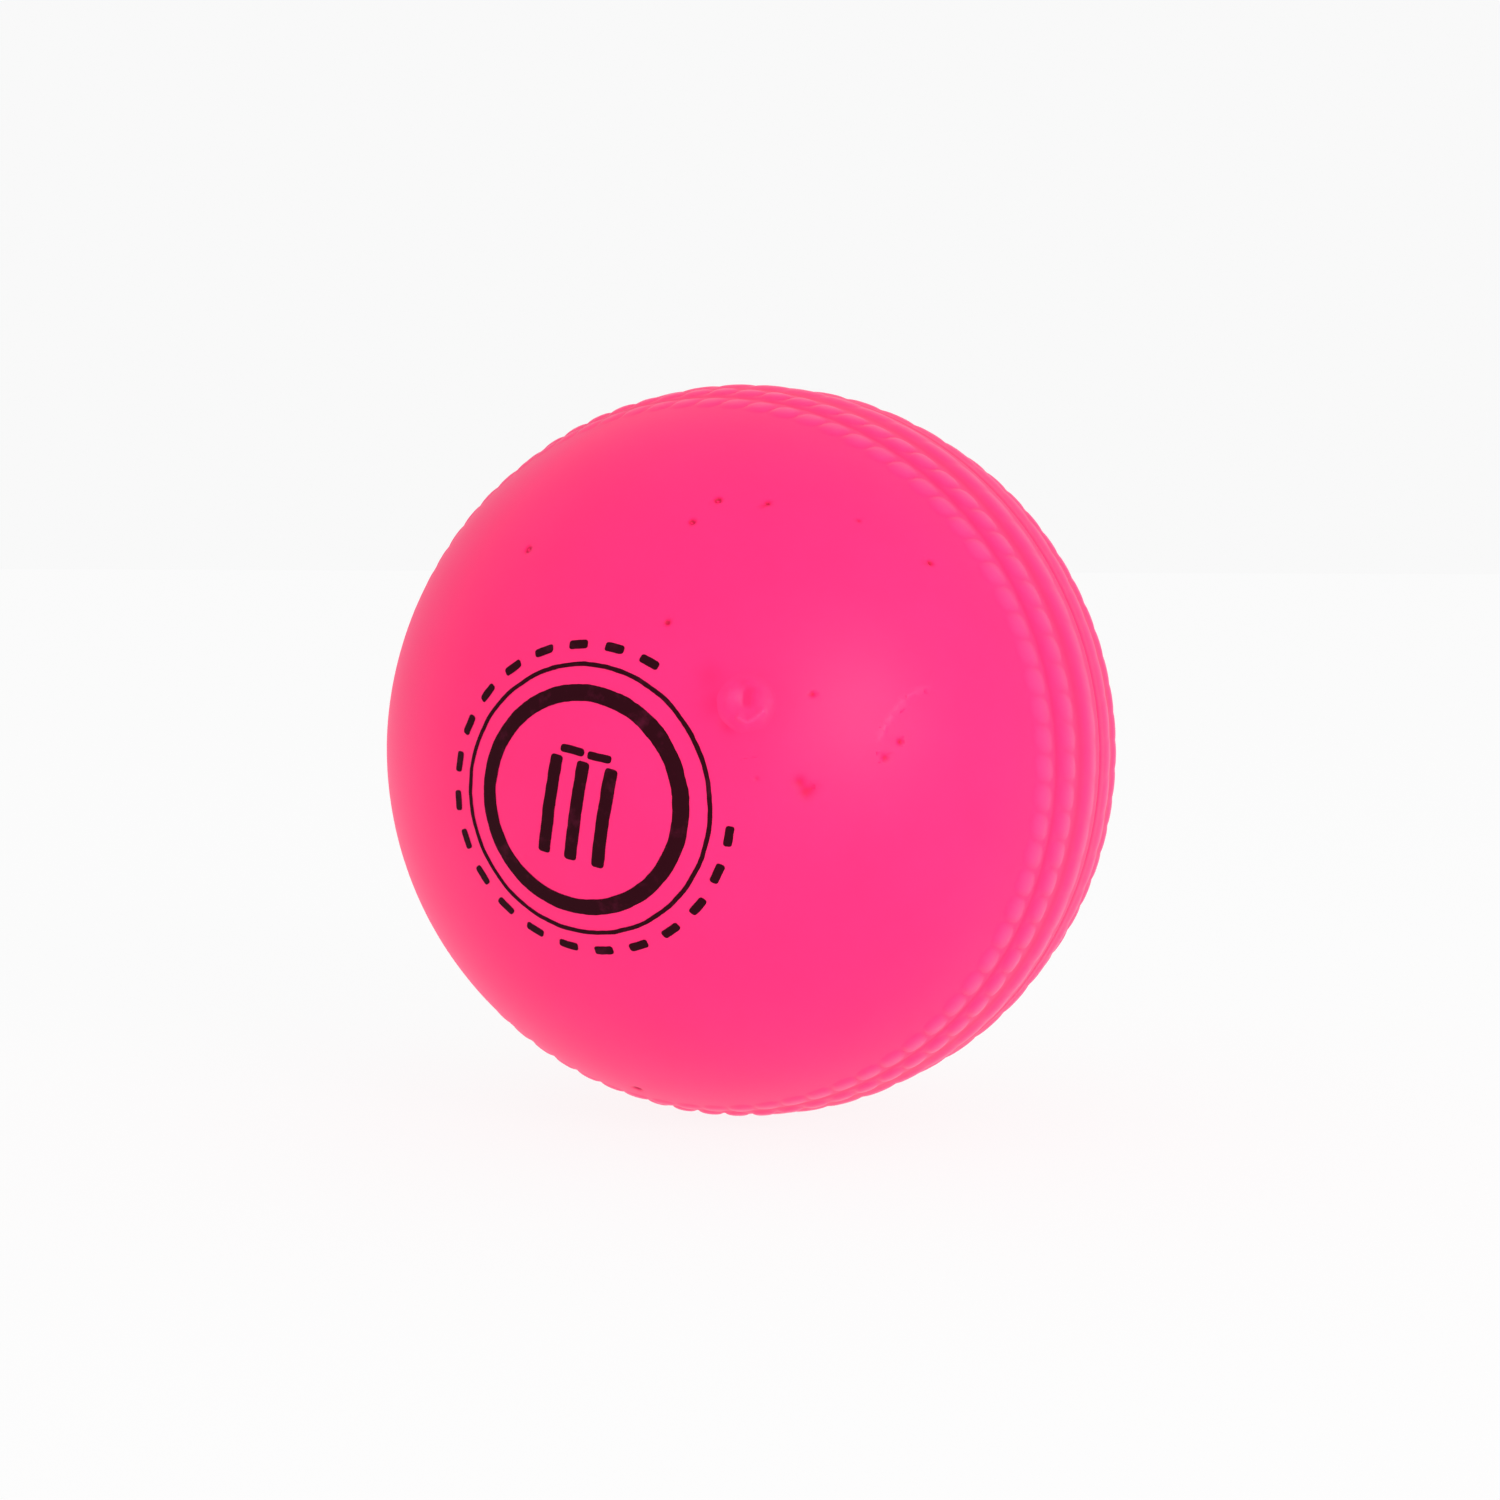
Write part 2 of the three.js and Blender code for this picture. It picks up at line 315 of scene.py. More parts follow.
def skin_tone(direction):
    """Painted light on the skin, as a tone: painted shade takes it to 0 in a pinhole and 0.2 between the
    rows, it is 0.4 on the plain skin, and a painted highlight takes it to 1 on a stitch; the sinks get
    painted shade and the flow line a painted highlight.
    """
    tone = PLAIN_TONE
    latitude = latitude_of(direction)
    # Painted highlight on the stitches and painted shade between the rows, faded out towards the plain skin
    if latitude < SEAM_EDGE:
        raised = max(HOLLOW_TONE, PLAIN_TONE + (1 - PLAIN_TONE) * seam_height(direction) / TONE_RISE)
        tone += (raised - tone) * smooth_step((SEAM_EDGE - latitude) / SEAM_FADE)
    if direction.y < 0:
        # Painted shade in the pinholes
        for spot, radius, depth in pit_spots:
            if direction.dot(spot) > PIT_REACH:
                gap = (direction - spot).length * BODY_R
                tone -= depth / PIT_TONE_DEPTH * bell(gap, PIT_TONE_SPREAD * radius)
        # Painted shade in the sinks round the air hole
        for spot, radius, depth in sink_spots:
            if direction.dot(spot) > SINK_REACH:
                tone -= depth / SINK_TONE_DEPTH * bell((direction - spot).length * BODY_R, radius)
        # Painted highlight along the flow line
        tone += CREASE_TONE * crease_share(direction)
    return clamp01(tone)


def paint_tone(bm, tone_at):
    """Keeps each point's tone on the mesh, for the vinyl's gloss and for the painted shade and highlight in
    its colour.
    """
    layer = bm.verts.layers.float.new("tone")
    for v in bm.verts:
        v[layer] = tone_at(v.co)


def skin_height(direction):
    height = seam_height(direction)
    for per_radius, full in LUMP_SIZES:
        height += full * 0.5 * (noise.noise(direction * per_radius + LUMP_START) - 1)
    if direction.y < 0:
        height += blemish_height(direction)
    return height


# ---------------------------------------------------------------------------------------------------------
# Mesh helpers
# ---------------------------------------------------------------------------------------------------------

def make_object(name, bm, material, sharp_degrees=35):
    bmesh.ops.recalc_face_normals(bm, faces=bm.faces)
    mesh = bpy.data.meshes.new(name)
    bm.to_mesh(mesh)
    bm.free()
    mesh.shade_smooth()
    mesh.set_sharp_from_angle(angle=math.radians(sharp_degrees))
    mesh.materials.append(material)
    obj = bpy.data.objects.new(name, mesh)
    bpy.context.scene.collection.objects.link(obj)
    return obj


def add_outline(bm, points):
    """Joins points into one open chain of edges, ready to spin."""
    verts = [bm.verts.new(point) for point in points]
    edges = [bm.edges.new(pair) for pair in zip(verts, verts[1:])]
    return verts + edges


def spin_round(bm, outline, axis, columns):
    bmesh.ops.spin(
        bm, geom=outline, cent=(0, 0, 0), axis=axis, dvec=(0, 0, 0),
        angle=2 * math.pi, steps=columns, use_merge=True,
    )
    bmesh.ops.remove_doubles(bm, verts=bm.verts, dist=0.001 * MM)


REFINE_SHRINK = 0.72           # each round of splitting reaches this share of the last one's distance


def refine(bm, spot, reach, rounds):
    """Splits the outer skin's larger faces round a spot, so that a small mark has enough of them."""
    for _ in range(rounds):
        limit = BODY_R * math.cos(reach / BODY_R)
        near = {v for v in bm.verts if v.co.dot(spot) > limit}
        edges = {
            e for v in near for e in v.link_edges
            if e.other_vert(v) in near and e.calc_length() > FINEST_EDGE
        }
        bmesh.ops.subdivide_edges(bm, edges=list(edges), cuts=1, use_grid_fill=True)
        reach *= REFINE_SHRINK


def finish_piece(obj, slot, *nodes):
    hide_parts(*nodes)
    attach(obj, "root")


# ---------------------------------------------------------------------------------------------------------
# The shells
# ---------------------------------------------------------------------------------------------------------

def shell_outline():
    """The half on the +Y side: from the hollow's pole to the rim, over its groove, and up the skin."""
    hollow_r = BODY_R - WALL
    groove_in = BEAD_OUTER_R - BEAD_THICK - FIT_GAP
    groove_out = BEAD_OUTER_R + FIT_GAP
    groove_depth = BEAD_HALF + FIT_GAP

    def on_arc(radius, angle):
        return radius * math.cos(math.radians(angle)), radius * math.sin(math.radians(angle)), 0

    points = [(0, hollow_r, 0)]
    points += [on_arc(hollow_r, 90 - HOLLOW_STEP * i) for i in range(1, int(90 / HOLLOW_STEP))]
    points += [(hollow_r, RIM_HALF_GAP, 0)]
    points += [(groove_in, RIM_HALF_GAP, 0), (groove_in, groove_depth, 0)]
    points += [(groove_out, groove_depth, 0), (groove_out, RIM_HALF_GAP, 0)]
    rim_angle = math.degrees(math.asin(RIM_HALF_GAP / BODY_R))
    points += [on_arc(BODY_R, rim_angle), on_arc(BODY_R, 0.25)]
    seam_steps = int(round((SEAM_EDGE + 0.6) / SEAM_STEP))
    points += [on_arc(BODY_R, SEAM_STEP * i) for i in range(1, seam_steps + 1)]
    first = SEAM_STEP * seam_steps
    dome_steps = int(round((90 - first) / DOME_STEP))
    points += [on_arc(BODY_R, first + (90 - first) * i / dome_steps) for i in range(1, dome_steps)]
    points += [(0, BODY_R, 0)]
    return points


def refine_blemishes(bm):
    for spot, radius, _ in pit_spots:
        refine(bm, spot, 2.6 * radius + 0.5 * MM, rounds=3)
    for start, end in zip(crease_line, crease_line[1:]):
        for share in (0.0, 0.34, 0.67, 1.0):
            refine(bm, start.lerp(end, share).normalized(), 1.2 * MM, rounds=1)
    refine(bm, air_hole.out, 5 * MM, rounds=2)


def half_shell(side):
    """side is 1 for the plain half, towards +Y, and -1 for the printed one."""
    bm = bmesh.new()
    spin_round(bm, add_outline(bm, shell_outline()), Y_AXIS, SHELL_COLUMNS)
    skin_r = BODY_R - SKIN_DEPTH
    seam_top = BODY_R * math.sin(math.radians(SEAM_EDGE + SEAM_FADE))
    level = 0.001 * MM
    round_edges = [
        e for e in bm.edges
        if abs(e.verts[0].co.y - e.verts[1].co.y) < level
        and e.verts[0].co.y < seam_top
        and abs(e.verts[0].co.length - e.verts[1].co.length) < level
        and e.verts[0].co.length > skin_r
    ]
    bmesh.ops.subdivide_edges(bm, edges=round_edges, cuts=SEAM_CUTS, use_single_edge=True)
    if side < 0:
        bmesh.ops.rotate(bm, verts=bm.verts, cent=(0, 0, 0), matrix=Matrix.Rotation(math.pi, 3, "X"))
        refine_blemishes(bm)
    for v in bm.verts:
        if v.co.length > skin_r:
            direction = v.co.normalized()
            v.co = direction * (BODY_R + skin_height(direction))
    # The skin's painted shade and highlight, kept as its tone
    paint_tone(bm, lambda co: skin_tone(co.normalized()) if co.length > skin_r else PLAIN_TONE)
    return bm


DISC_R = 1.4 * MM
HOLE_R = DISC_R + 0.04 * MM
LEDGE_DEPTH = 0.75 * MM
STEM_HOLE_R = 1.4 * MM


def place_upright(bm, place):
    """Turns what was spun round Z, so that its +Z points out of the ball at a place."""
    basis = Matrix((place.right, place.up, place.out)).transposed()
    bmesh.ops.rotate(bm, verts=bm.verts, cent=(0, 0, 0), matrix=basis)


def turned(outline, columns):
    """A solid spun round Z from pairs of radius and height, the first and last on the axis."""
    bm = bmesh.new()
    spin_round(bm, add_outline(bm, [(radius, 0, height) for radius, height in outline]), Z_AXIS, columns)
    return bm


def drill_air_hole(shell):
    """Cuts the stepped hole that the plug and its sealing disc fill."""
    ledge = BODY_R - LEDGE_DEPTH
    outline = [
        (0, BODY_R - 2 * WALL), (STEM_HOLE_R, BODY_R - 2 * WALL), (STEM_HOLE_R, ledge),
        (HOLE_R, ledge), (HOLE_R, BODY_R + WALL), (0, BODY_R + WALL),
    ]
    bm = turned(outline, 48)
    place_upright(bm, air_hole)
    cutter = make_object("air_hole_cutter", bm, shell.data.materials[0])
    cut = shell.modifiers.new("air_hole", "BOOLEAN")
    cut.operation = "DIFFERENCE"
    cut.solver = "EXACT"
    cut.object = cutter
    bpy.context.view_layer.update()
    drilled = bpy.data.meshes.new_from_object(shell.evaluated_get(bpy.context.evaluated_depsgraph_get()))
    shell.modifiers.clear()
    shell.data = drilled
    bpy.data.objects.remove(cutter)


# ---------------------------------------------------------------------------------------------------------
# What is inside: the weld bead and the air hole's plug
# ---------------------------------------------------------------------------------------------------------

def weld_bead():
    """The bead squeezed into the rims' grooves, a little lumpy on its inner side where it cooled free."""
    inner_r = BEAD_OUTER_R - BEAD_THICK
    corner = 0.3 * MM
    outline = []
    for centre_r, centre_y, start in (
        (BEAD_OUTER_R - corner, BEAD_HALF - corner, 0), (inner_r + corner, BEAD_HALF - corner, 90),
        (inner_r + corner, corner - BEAD_HALF, 180), (BEAD_OUTER_R - corner, corner - BEAD_HALF, 270),
    ):
        for step in range(4):
            angle = math.radians(start + 30 * step)
            outline.append((centre_r + corner * math.cos(angle), centre_y + corner * math.sin(angle), 0))
    bm = bmesh.new()
    chain = add_outline(bm, outline)
    verts = [part for part in chain if isinstance(part, bmesh.types.BMVert)]
    chain.append(bm.edges.new((verts[-1], verts[0])))
    spin_round(bm, chain, Y_AXIS, 240)
    for v in bm.verts:
        radius = math.hypot(v.co.x, v.co.z)
        inward = smooth_step((BEAD_OUTER_R - radius) / BEAD_THICK)
        pinch = 0.1 * MM * inward * (0.5 + noise.noise(v.co / (2.2 * MM)))
        v.co += Vector((v.co.x, 0, v.co.z)) / radius * pinch
    return bm


def air_hole_plug():
    """A tapered stem with a round flange that sits against the inside of the wall."""
    hollow_r = BODY_R - WALL
    stem_r, flange_r, flange_thick, taper = 1.1 * MM, 2.4 * MM, 0.9 * MM, 0.15 * MM
    flange_top = math.sqrt(hollow_r ** 2 - flange_r ** 2) - FIT_GAP
    top = BODY_R - DISC_THICK - FIT_GAP
    outline = [
        (0, flange_top - flange_thick), (flange_r, flange_top - flange_thick), (flange_r, flange_top),
        (stem_r - taper, flange_top), (stem_r, top), (0, top),
    ]
    bm = turned(outline, 64)
    creases = [e for e in bm.edges if e.is_manifold and e.calc_face_angle(0) > math.radians(40)]
    bmesh.ops.bevel(
        bm, geom=creases, offset=0.12 * MM, segments=3, profile=0.5, affect="EDGES", material=-1,
    )
    place_upright(bm, air_hole)
    return bm


# ---------------------------------------------------------------------------------------------------------
# The sealing disc: a blob of vinyl melted over the hole and trimmed by hand
# ---------------------------------------------------------------------------------------------------------

FLASH_R = 2.6 * MM

# The trimmed edge stands up as a ridge below and to the right, in flat millimetres from the disc's middle
RIDGE = (Vector((-0.7, -1.35)), Vector((-0.05, -1.8)), Vector((0.75, -1.35)), Vector((1.35, -0.8)))


RIDGE_RISE, RIDGE_WIDTH = 0.16, 0.26

# The disc's lumps and dimples, in the same millimetres: x, y, radius and height, or a depth below 0
SCAR_LEVEL = 0.05
SCAR_LUMPS = (
    (-1.3, 0.5, 0.75, 0.14),
    (0.15, 0.9, 0.5, -0.10),
    (0.05, 0.1, 0.5, -0.12),
    (-0.5, 1.9, 0.6, -0.04),
    (1.35, 0.0, 0.7, 0.05),
)
SCAR_EDGE = 2.6                # the larger, the steeper the disc's outer edge
# Painted highlight where the disc stands up and painted shade in its dimples, through its tone
SCAR_TONE = 2.2                # the tone that a millimetre of relief adds
SCAR_PALEST = 0.9


def distance_to_ridge(x, y):
    point = Vector((x, y))
    gaps = []
    for start, end in zip(RIDGE, RIDGE[1:]):
        run = end - start
        t = clamp01((point - start).dot(run) / run.length_squared)
        gaps.append((point - start - run * t).length)
    return min(gaps)


def scar_fade(x, y):
    """1 over most of the disc, falling to 0 at its rim."""
    return smooth_step(SCAR_EDGE * (1 - math.hypot(x, y) / (FLASH_R / MM)))


def scar_height(x, y):
    """The disc's top above the skin, in millimetres, at flat millimetres from its middle."""
    height = SCAR_LEVEL
    for lump_x, lump_y, radius, rise in SCAR_LUMPS:
        height += rise * bell(math.hypot(x - lump_x, y - lump_y), radius)
    height += RIDGE_RISE * bell(distance_to_ridge(x, y), RIDGE_WIDTH)
    height += 0.02 * noise.noise(Vector((x, y, 2.0)) * 1.7)
    return height * scar_fade(x, y)


def sealing_disc():
    """Built flat round Z, with its height above the skin along Z, then laid on the ball."""
    rings = 30
    top_rim = 0.006 * MM
    outline = [(FLASH_R * i / rings, 1 * MM) for i in range(rings)]
    outline += [(FLASH_R, top_rim), (FLASH_R - 0.02 * MM, 0.004 * MM), (DISC_R, 0.004 * MM)]
    corner = 0.1 * MM
    outline += [(DISC_R, corner - DISC_THICK), (DISC_R - corner, -DISC_THICK), (0, -DISC_THICK)]
    bm = turned(outline, 96)
    for v in bm.verts:
        x, y, height = v.co
        if height > 0.5 * MM:
            height = max(0.008, scar_height(x / MM, y / MM)) * MM
        if math.hypot(x, y) > 0.8 * FLASH_R:
            around = math.atan2(y, x)
            ragged = 1 + 0.06 * noise.noise(Vector((math.cos(around), math.sin(around), 0)) * 1.9)
            x, y = x * ragged, y * ragged
        direction = air_hole.direction(x, y)
        v.co = direction * (BODY_R + skin_height(direction) + height)
    # The disc's painted highlight and shade, kept as its tone
    paint_tone(bm, scar_tone)
    return bm


def scar_tone(point):
    """Painted highlight and shade: the melted blob is palest where it stands up and deepest in its dimple."""
    across, up = air_hole.flat(point.normalized())
    x, y = across / MM, up / MM
    lift = scar_height(x, y) - SCAR_LEVEL * scar_fade(x, y)
    return max(HOLLOW_TONE, min(SCAR_PALEST, PLAIN_TONE + SCAR_TONE * lift))


# ---------------------------------------------------------------------------------------------------------
# The printed mark
# ---------------------------------------------------------------------------------------------------------

def creep(x, y, layer):
    """How far the ink has crept over the skin's grain there, and each layer has its own pattern."""
    place = Vector((x / MM, y / MM, layer))
    return sum(reach * noise.noise(place / length) for reach, length in INK_CREEP) * MM


def ragged_edge(x, y):
    """Creeping ink leaves no edge quite straight."""
    return x + creep(x, y, 3.7), y + creep(x, y, 20.3)


def lay_ink(bm, place):
    """Gives a flat shape the ink's thickness and lays it on the skin at a place."""
    grown = bmesh.ops.extrude_face_region(bm, geom=bm.faces[:])
    top = {part for part in grown["geom"] if isinstance(part, bmesh.types.BMVert)}
    for v in bm.verts:
        x, y = ragged_edge(v.co.x, v.co.y)
        direction = place.direction(x, y)
        lift = INK_TOP if v in top else INK_FOOT
        v.co = direction * (BODY_R + skin_height(direction) + lift)
    return bm


def ink_ring(inner_r, outer_r, columns, rows):
    bm = bmesh.new()
    outline = [(inner_r + (outer_r - inner_r) * i / rows, 0, 0) for i in range(rows + 1)]
    spin_round(bm, add_outline(bm, outline), Z_AXIS, columns)
    return lay_ink(bm, mark)


def ink_bar(node, width, height, corner, turn=0.0):
    """A round-cornered bar of ink where the frame has that node, turned about its own middle."""
    bm = bmesh.new()
    bmesh.ops.create_grid(
        bm, x_segments=max(3, round(width / INK_GRID)), y_segments=max(3, round(height / INK_GRID)), size=0.5)
    across, up = mark.flat(middle_of(node).normalized())
    reach = max(v.co.x for v in bm.verts)
    for v in bm.verts:
        x = v.co.x / reach * width / 2
        y = v.co.y / reach * height / 2
        past_x = abs(x) - (width / 2 - corner)
        past_y = abs(y) - (height / 2 - corner)
        if past_x > 0 and past_y > 0:
            pull = max(past_x, past_y) / math.hypot(past_x, past_y)
            x = math.copysign(width / 2 - corner + past_x * pull, x)
            y = math.copysign(height / 2 - corner + past_y * pull, y)
        v.co = Vector((
            across + x * math.cos(turn) - y * math.sin(turn),
            up + x * math.sin(turn) + y * math.cos(turn), 0,
        ))
    return lay_ink(bm, mark)


# ---------------------------------------------------------------------------------------------------------
# Materials
# ---------------------------------------------------------------------------------------------------------

def linear(hex_colour):
    """An sRGB hex colour as linear RGBA."""
    def channel(value):
        share = value / 255
        return share / 12.92 if share <= 0.04045 else ((share + 0.055) / 1.055) ** 2.4
    code = hex_colour.lstrip("#")
    return tuple(channel(int(code[i:i + 2], 16)) for i in (0, 2, 4)) + (1.0,)


def add_node(tree, kind, values=None, links=None, **settings):
    """Adds a node with its own settings, its sockets' values and the links into it."""
    node = tree.nodes.new(kind)
    for name, value in settings.items():
        setattr(node, name, value)
    for socket, value in (values or {}).items():
        node.inputs[socket].default_value = value
    for socket, source in (links or {}).items():
        tree.links.new(source, node.inputs[socket])
    return node


def new_material(name):
    material = bpy.data.materials.new(name)
    material.use_nodes = True
    material.node_tree.nodes.clear()
    return material, material.node_tree


SKIN_DEEP, SKIN_LIGHT = "#ff216c", "#ff2873"
# Painted shade in the pinholes
PINHOLE_SHADE_PINK = "#c40a42"
# Painted shade between the stitches and rows and in the sinks
HOLLOW_SHADE_PINK = "#f31662"
# Painted highlight on the stitches' tops
HIGHLIGHT_PINK = "#ff3b7e"


def per_metre(size):
    """A noise texture's scale for patches of that size."""
    return 1 / size


def slush_moulded_vinyl():
    """Soft PVC from a heated mould, hot pink right through. Painted shade makes it deepest in pinholes, sinks
    and between the stitches and rows, and a painted highlight makes it paler on the stitches, the flow line
    and the disc's lumps, where it is also a little glossier; with faint clouds where it gelled unevenly and
    the fine grain of the mould's blasted wall."""
    material, tree = new_material("pink_vinyl")
    place = add_node(tree, "ShaderNodeTexCoord").outputs["Object"]
    tone = add_node(tree, "ShaderNodeAttribute", attribute_name="tone").outputs["Fac"]
    clouds = add_node(
        tree, "ShaderNodeTexNoise", {"Scale": per_metre(9 * MM), "Detail": 3.0, "Roughness": 0.55},
        {"Vector": place})
    plain = add_node(
        tree, "ShaderNodeMix", {"A": linear(SKIN_DEEP), "B": linear(SKIN_LIGHT)},
        {"Factor": clouds.outputs["Fac"]}, data_type="RGBA")
    # Painted shade: hollows are mixed towards a deeper pink
    hollow_shade_share = add_node(
        tree, "ShaderNodeMapRange", {"From Min": HOLLOW_TONE, "From Max": PLAIN_TONE}, {"Value": tone})
    dark_to_plain = add_node(
        tree, "ShaderNodeMix", {"A": linear(HOLLOW_SHADE_PINK)},
        {"Factor": hollow_shade_share.outputs["Result"], "B": plain.outputs["Result"]}, data_type="RGBA")
    # Painted shade: pinholes are mixed towards a dark red
    pinhole = add_node(
        tree, "ShaderNodeMapRange", {"From Min": 0.0, "From Max": HOLLOW_TONE}, {"Value": tone})
    pitted = add_node(
        tree, "ShaderNodeMix", {"A": linear(PINHOLE_SHADE_PINK)},
        {"Factor": pinhole.outputs["Result"], "B": dark_to_plain.outputs["Result"]}, data_type="RGBA")
    # Painted highlight: the more a point stands up, the paler its pink
    highlight_share = add_node(
        tree, "ShaderNodeMapRange", {"From Min": PLAIN_TONE, "From Max": 1.0}, {"Value": tone})
    colour = add_node(
        tree, "ShaderNodeMix", {"B": linear(HIGHLIGHT_PINK)},
        {"Factor": highlight_share.outputs["Result"], "A": pitted.outputs["Result"]}, data_type="RGBA")
    dull = add_node(
        tree, "ShaderNodeMapRange", {"From Min": 0.0, "From Max": 1.0, "To Min": 0.56, "To Max": 0.34},
        {"Value": tone})
    grain = add_node(
        tree, "ShaderNodeTexNoise", {"Scale": per_metre(0.45 * MM), "Detail": 4.0, "Roughness": 0.6},
        {"Vector": place})
    bump = add_node(
        tree, "ShaderNodeBump", {"Strength": 0.35, "Distance": 0.02 * MM}, {"Height": grain.outputs["Fac"]})
    shader = add_node(
        tree, "ShaderNodeBsdfPrincipled",
        {"IOR": 1.53, "Specular IOR Level": 0.17, "Subsurface Weight": 0.1,
         "Subsurface Radius": (1.0, 0.35, 0.45), "Subsurface Scale": 0.5 * MM},
        {"Base Color": colour.outputs["Result"], "Roughness": dull.outputs["Result"],
         "Normal": bump.outputs["Normal"]})
    add_node(tree, "ShaderNodeOutputMaterial", links={"Surface": shader.outputs["BSDF"]})
    return material


def melted_vinyl(name, deep, light, roughness):
    """The same soft PVC, melted on or moulded on its own: clouded, and smoother than a mould's grain."""
    material, tree = new_material(name)
    place = add_node(tree, "ShaderNodeTexCoord").outputs["Object"]
    clouds = add_node(
        tree, "ShaderNodeTexNoise", {"Scale": per_metre(3 * MM), "Detail": 3.0}, {"Vector": place})
    colour = add_node(
        tree, "ShaderNodeMix", {"A": linear(deep), "B": linear(light)},
        {"Factor": clouds.outputs["Fac"]}, data_type="RGBA")
    dull = add_node(
        tree, "ShaderNodeMapRange", {"To Min": roughness - 0.05, "To Max": roughness + 0.08},
        {"Value": clouds.outputs["Fac"]})
    ripple = add_node(
        tree, "ShaderNodeTexNoise", {"Scale": per_metre(0.8 * MM), "Detail": 2.0}, {"Vector": place})
    bump = add_node(
        tree, "ShaderNodeBump", {"Strength": 0.3, "Distance": 0.02 * MM}, {"Height": ripple.outputs["Fac"]})
    shader = add_node(
        tree, "ShaderNodeBsdfPrincipled", {"IOR": 1.53, "Specular IOR Level": 0.35},
        {"Base Color": colour.outputs["Result"], "Roughness": dull.outputs["Result"],
         "Normal": bump.outputs["Normal"]})
    add_node(tree, "ShaderNodeOutputMaterial", links={"Surface": shader.outputs["BSDF"]})
    return material


def pad_print_ink():
    """Solvent ink pressed on with a silicone pad: near black, satin, thin where the pad lifted, with the
    pink showing faintly through its pinholes."""
    material, tree = new_material("pad_print_ink")
    place = add_node(tree, "ShaderNodeTexCoord").outputs["Object"]
    blotches = add_node(
        tree, "ShaderNodeTexNoise", {"Scale": per_metre(1.8 * MM), "Detail": 4.0, "Roughness": 0.65},
        {"Vector": place})
    thin = add_node(
        tree, "ShaderNodeMapRange", {"From Min": 0.55, "From Max": 0.78, "To Min": 0.0, "To Max": 0.5},
        {"Value": blotches.outputs["Fac"]})
    colour = add_node(
        tree, "ShaderNodeMix", {"A": linear("#2a0610"), "B": linear("#5c1630")},
        {"Factor": thin.outputs["Result"]}, data_type="RGBA")
    dull = add_node(
        tree, "ShaderNodeMapRange", {"To Min": 0.42, "To Max": 0.58}, {"Value": blotches.outputs["Fac"]})
    grain = add_node(
        tree, "ShaderNodeTexNoise", {"Scale": per_metre(0.35 * MM), "Detail": 3.0}, {"Vector": place})
    bump = add_node(
        tree, "ShaderNodeBump", {"Strength": 0.3, "Distance": 0.015 * MM}, {"Height": grain.outputs["Fac"]})
    shader = add_node(
        tree, "ShaderNodeBsdfPrincipled", {"IOR": 1.48, "Specular IOR Level": 0.03},
        {"Base Color": colour.outputs["Result"], "Roughness": dull.outputs["Result"],
         "Normal": bump.outputs["Normal"]})
    add_node(tree, "ShaderNodeOutputMaterial", links={"Surface": shader.outputs["BSDF"]})
    return material


STUDIO_WHITE = 0.947           # linear, so that floor and background are one pale tone
STUDIO_FILL = 0.88             # the light that the studio's walls send back onto the ball
FLOOR_FILL, FLOOR_SEEN = 1.1, 0.982   # the floor's glow as it lights the ball, and as the eye sees it
FLOOR_SHADOW = 0.1             # share of the ball's shadow that the floor takes


def studio_floor():
    """A pale sweep that glows evenly and takes only a little of the ball's shadow."""
    material, tree = new_material("studio_floor")
    seen = add_node(tree, "ShaderNodeLightPath").outputs["Is Camera Ray"]
    strength = add_node(
        tree, "ShaderNodeMapRange", {"To Min": FLOOR_FILL, "To Max": FLOOR_SEEN}, {"Value": seen})
    glow = add_node(
        tree, "ShaderNodeEmission", {"Color": (1, 1, 1, 1)}, {"Strength": strength.outputs["Result"]})
    paper = add_node(tree, "ShaderNodeBsdfDiffuse", {"Color": (0.9, 0.9, 0.9, 1)})
    both = add_node(
        tree, "ShaderNodeMixShader", {"Fac": FLOOR_SHADOW},
        {1: glow.outputs["Emission"], 2: paper.outputs["BSDF"]})
    add_node(tree, "ShaderNodeOutputMaterial", links={"Surface": both.outputs["Shader"]})
    return material


def studio_world():
    """An even pale background that lights the ball more softly than it looks."""
    world = bpy.data.worlds.new("studio")
    world.use_nodes = True
    tree = world.node_tree
    tree.nodes.clear()
    seen = add_node(tree, "ShaderNodeLightPath").outputs["Is Camera Ray"]
    fill = add_node(tree, "ShaderNodeBackground", {"Color": (1, 1, 1, 1), "Strength": STUDIO_FILL})
    white = add_node(tree, "ShaderNodeBackground", {"Color": (1, 1, 1, 1), "Strength": STUDIO_WHITE})
    both = add_node(
        tree, "ShaderNodeMixShader",
        links={"Fac": seen, 1: fill.outputs["Background"], 2: white.outputs["Background"]})
    add_node(tree, "ShaderNodeOutputWorld", links={"Surface": both.outputs["Shader"]})
    return world


# ---------------------------------------------------------------------------------------------------------
# The ball
# ---------------------------------------------------------------------------------------------------------

pink_vinyl = slush_moulded_vinyl()
weld_vinyl = melted_vinyl("weld_vinyl", deep="#ee6a98", light="#f58bb0", roughness=0.35)
plug_vinyl = melted_vinyl("plug_vinyl", deep="#d92868", light="#e23a78", roughness=0.45)
ink = pad_print_ink()

finish_piece(make_object("plain_half", half_shell(1), pink_vinyl), "pink_vinyl", "plain_half_shell")
printed_half = make_object("printed_half", half_shell(-1), pink_vinyl)
drill_air_hole(printed_half)
finish_piece(printed_half, "pink_vinyl", "printed_half_shell")
finish_piece(make_object("seam_weld", weld_bead(), weld_vinyl), "weld_vinyl", "weld_bead")
finish_piece(make_object("plug", air_hole_plug(), plug_vinyl), "plug_vinyl", "air_hole_plug")
finish_piece(make_object("plug_scar", sealing_disc(), pink_vinyl), "pink_vinyl", "plug_sealing_disc")

